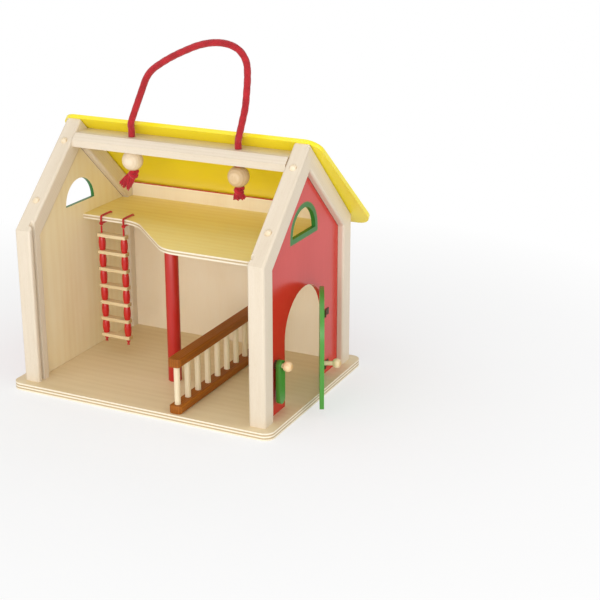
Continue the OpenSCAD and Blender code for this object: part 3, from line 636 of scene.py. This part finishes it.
def make_ladder_loops():
    r = 0.0022
    top = LOFT_TOP + CORD_R + 0.00015
    front = CORD_Y + r
    hole = 0.0245
    run = [(CORD_Y, PIVOT_Z + 0.0016), (CORD_Y, KNOT_Z), (CORD_Y, top - r - 0.002)]
    run += bend(front, top - r, r, 180, 90)
    run += [(front + 0.006, top + 0.0001), (hole - r - 0.006, top + 0.0001)]
    run += bend(hole - r, top - r, r, 90, 0)
    run += [(hole, KNOT_Z + r + 0.001)]
    run += bend(hole - r, KNOT_Z + r, r, 0, -90)
    run += [(front + 0.006, KNOT_Z), (CORD_Y + 0.001, KNOT_Z)]
    parts = []
    for side in (-1, 1):
        x = LADDER_X + side * CORD_SIDE
        path = smooth_path([Vector((x, y, z)) for y, z in run], 0.0004)
        parts.append(tube(path, CORD_R, 18, lay(0.0036, 3, 0.14)))
        parts.append(small_knot(x, CORD_Y, KNOT_Z, 0.0013, 0.0024, 2.3))
    verts, faces = joined(parts)
    o = mesh_piece("ladder_loop_lay", verts, faces, CORD, "barn")
    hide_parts("ladder_cord_loops")


def make_ladder_cords():
    parts = []
    for side in (-1, 1):
        x = LADDER_X + side * CORD_SIDE
        line = [Vector((x, CORD_Y, z)) for z in (PIVOT_Z + 0.0009, 0.1, CORD_END_Z - 0.001)]
        path = smooth_path(line, 0.0004)
        parts.append(tube(path, lambda f: CORD_R * min(1.0, 0.8 + f * 60), 18,
                          lay(0.0036, 3, 0.14)))
        parts.append(small_knot(x, CORD_Y, CORD_END_Z - 0.0022, 0.0014, 0.0022, 2.4))
        for k in range(7):
            a = 2.4 * k
            r = 0.0009 * math.sqrt(k / 7)
            pts = [Vector((x + k_out * r * math.cos(b), CORD_Y + k_out * r * math.sin(b),
                           CORD_END_Z - drop))
                   for k_out, b, drop in ((1, a, 0.003), (1.6, a, 0.0055), (2.4, a + 0.5, 0.0078))]
            parts.append(tube(smooth_path(pts, 0.0008), 0.0004, 6))
    verts, faces = joined(parts)
    o = mesh_piece("ladder_cord_lay", verts, faces, CORD, "ladder")
    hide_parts("ladder_cords")


make_ladder_loops()
make_ladder_cords()


# Looks of the frame's own nodes

# Vertices closer than this are one; faces are in one plane when their
# normals agree this well and lie this near it; smaller planes stay smooth
WELD = 0.000004
ALIGNED = 0.99998
ON_PLANE = 0.00002
LEAST_FLAT = 0.00025


def flat_faces(mesh, least):
    """Marks as flat the faces of planar regions with at least this area."""
    bm = bmesh.new()
    bm.from_mesh(mesh)
    bmesh.ops.remove_doubles(bm, verts=bm.verts, dist=WELD)
    bm.normal_update()
    regions = []
    done = set()
    for f in bm.faces:
        if f.index in done:
            continue
        group, stack = [], [f]
        done.add(f.index)
        while stack:
            g = stack.pop()
            group.append(g)
            for e in g.edges:
                for h in e.link_faces:
                    if h.index not in done and h.normal.dot(f.normal) > ALIGNED:
                        done.add(h.index)
                        stack.append(h)
        if sum(g.calc_area() for g in group) >= least:
            regions.append((f.normal.copy(), group[0].verts[0].co.copy()))
    bm.free()
    for poly in mesh.polygons:
        for normal, place in regions:
            off = abs((poly.center - place).dot(normal))
            if poly.normal.dot(normal) > ALIGNED and off < ON_PLANE:
                poly.use_smooth = False
                break


def dress(names, material, bevel=0.0, segments=2, angle=32):
    """Gives CAD nodes a material, eased edges and smooth curved faces."""
    for n in names.split():
        o = NODES[n]
        o.data.materials.clear()
        o.data.materials.append(material)
        o.data.polygons.foreach_set("use_smooth", [True] * len(o.data.polygons))
        flat_faces(o.data, LEAST_FLAT)
        weld = o.modifiers.new("weld", "WELD")
        weld.merge_threshold = WELD
        if bevel:
            b = o.modifiers.new("ease", "BEVEL")
            b.width = bevel
            b.segments = segments
            b.limit_method = "ANGLE"
            b.angle_limit = math.radians(angle)
            b.use_clamp_overlap = True
        else:
            s = o.modifiers.new("split", "EDGE_SPLIT")
            s.split_angle = math.radians(angle)


BAR_EASE = 0.0004
bars = ["left_front_post", "left_back_post", "right_front_post", "right_back_post",
        "left_front_rafter", "left_back_rafter", "right_front_rafter", "right_back_rafter"]
for i, bar in enumerate(bars, 1):
    side, end, kind = bar.split("_")
    grain = "z" if kind == "post" else end
    dress(bar, solid_wood(kind + "_" + side[0] + end[0], grain, BAR_WOOD, float(i)), BAR_EASE)
dress("ridge_beam", solid_wood("beam", "x", BAR_WOOD, 9.0), 0.0012, 3, 20)

dress("base_plate", ply_board("base_ply", "x", 0.0, BASE_T, 5, BASE_PLY, 1.0), 0.0007)
dress("loft_floor", ply_board("loft_ply_roof_glow", "x", LOFT_LOW, LOFT_T, 3, LOFT_PLY_ROOF_GLOW, 4.0), 0.0006)
dress("left_gable_panel", gable_board("left_gable_boards", -1), BAR_EASE)
dress("right_gable_panel", gable_board("right_gable_boards", 1))
dress("back_wall", wall_board("back_wall_boards"), BAR_EASE)
dress("roof_panel", painted("roof_yellow", YELLOW, "x", 0.34, 0.4, 0.15), 0.0008)
dress("door_leaf", painted("door_green", GREEN, "z", 0.34, 0.1, 0.15))
dress("latch_bar", painted("latch_green", (70, 142, 50), "z", 0.34, 0.1, 0.15), 0.0008)
dress("loft_post", painted("post_red", (186, 36, 28), "z", 0.3, 0.08, 0.1), 0.0006)
dress("ladder_beads", painted("bead_red", (200, 34, 30), "z", 0.24, 0.15, 0.08))
dress("stall_bottom_rail stall_top_rail", stained("rail_stain", "y"), 0.0006)
dress("stall_spindles", solid_wood("spindle_wood", "z", SPINDLE_WOOD, 2.2))
dress("front_roof_pegs rear_roof_pegs frame_dowels beam_dowels",
      solid_wood("peg_wood", "x", PEG_WOOD, 3.3))
dress("left_handle_bead", solid_wood("bead_left", "z", LEFT_BEAD_WOOD, 0.5))
dress("right_handle_bead", solid_wood("bead_right", "z", RIGHT_BEAD_WOOD, 7.5))
dress("latch_peg", solid_wood("latch_ball", "x", BALL_WOOD, 1.5))
# the spacer's dark brown is painted shade of the gap behind the latch bar
dress("latch_spacer", solid_wood("spacer_shade_wood", "x", SPACER_SHADE_WOOD, 2.5))
dress("door_knob", solid_wood("knob_wood", "x", KNOB_WOOD, 4.5))
dress("ladder_rungs", solid_wood("rung_wood", "x", RUNG_WOOD, 5.5), 0.0005)
dress("hinge_wall_plates hinge_door_plates hinge_pins hinge_wall_screws hinge_door_screws",
      metal("bronze", (96, 70, 48), 0.38))
dress("post_screws rail_screws wall_screws", metal("screw_steel", (120, 104, 84), 0.4))


# Floor and light

FLOOR_LIFT = 0.55
AIM = (0, 0, 0.15)


def seen(m):
    """1 for the camera and for what mirrors or clear pieces show of it."""
    p = m.node("ShaderNodeLightPath")
    both = m.math("MAXIMUM", p.outputs["Is Camera Ray"], p.outputs["Is Glossy Ray"])
    return m.math("MAXIMUM", both, p.outputs["Is Transmission Ray"])


def make_floor():
    me = bpy.data.meshes.new("floor")
    s = 4.0
    me.from_pydata([(-s, -s, 0), (s, -s, 0), (s, s, 0), (-s, s, 0)], [], [(0, 1, 2, 3)])
    o = bpy.data.objects.new("floor", me)
    SCENE.collection.objects.link(o)
    m = Mat("floor_paper")
    tone = m.noise(m.scaled(3), 1, 2)
    far = m.node("ShaderNodeVectorMath", operation="LENGTH")
    m.put(m.coord.outputs["Object"], far.inputs[0])
    k = m.grey(far.outputs["Value"], FLOOR_LIFT, 1.0, 0.25, 0.75)
    lift = m.math("MULTIPLY", seen(m), k)
    paper = m.ramp(tone, (0.3, (246, 246, 246)), (0.7, (250, 250, 250)))
    m.finish(m.mix(lift, paper, (0, 0, 0)), 0.9)
    m.bsdf.inputs["Specular IOR Level"].default_value = 0.0
    m.bsdf.inputs["Emission Color"].default_value = (1, 1, 1, 1)
    m.put(lift, m.bsdf.inputs["Emission Strength"])
    me.materials.append(m.mat)


def make_world(strength):
    world = bpy.data.worlds.new("studio")
    world.use_nodes = True
    nt = world.node_tree
    path = nt.nodes.new("ShaderNodeLightPath")
    mix = nt.nodes.new("ShaderNodeMapRange")
    mix.inputs["To Min"].default_value = strength
    shown = path.outputs["Is Camera Ray"]
    for kind in ("Is Glossy Ray", "Is Transmission Ray"):
        either = nt.nodes.new("ShaderNodeMath")
        either.operation = "MAXIMUM"
        nt.links.new(shown, either.inputs[0])
        nt.links.new(path.outputs[kind], either.inputs[1])
        shown = either.outputs[0]
    nt.links.new(shown, mix.inputs["Value"])
    nt.links.new(mix.outputs[0], nt.nodes["Background"].inputs[1])
    nt.nodes["Background"].inputs[0].default_value = (1, 1, 1, 1)
    SCENE.world = world


def area_light(name, place, size, watts):
    """A soft box that points at the middle of the object."""
    data = bpy.data.lights.new(name, "AREA")
    data.shape = "RECTANGLE"
    data.size, data.size_y = size
    data.energy = watts
    o = bpy.data.objects.new(name, data)
    SCENE.collection.objects.link(o)
    o.location = place
    o.rotation_euler = (Vector(AIM) - Vector(place)).to_track_quat("-Z", "Y").to_euler()


make_floor()
make_world(0.5)
area_light("front", (0.7, -2.5, 0.65), (2.6, 1.4), 36)
area_light("fill", (-1.4, -2.2, 0.9), (1.6, 1.2), 8)
area_light("side", (2.4, -0.2, 0.9), (2.2, 1.8), 14)
area_light("top", (-0.3, -0.4, 2.6), (2.0, 2.0), 11)
SCENE.view_settings.view_transform = "Standard"
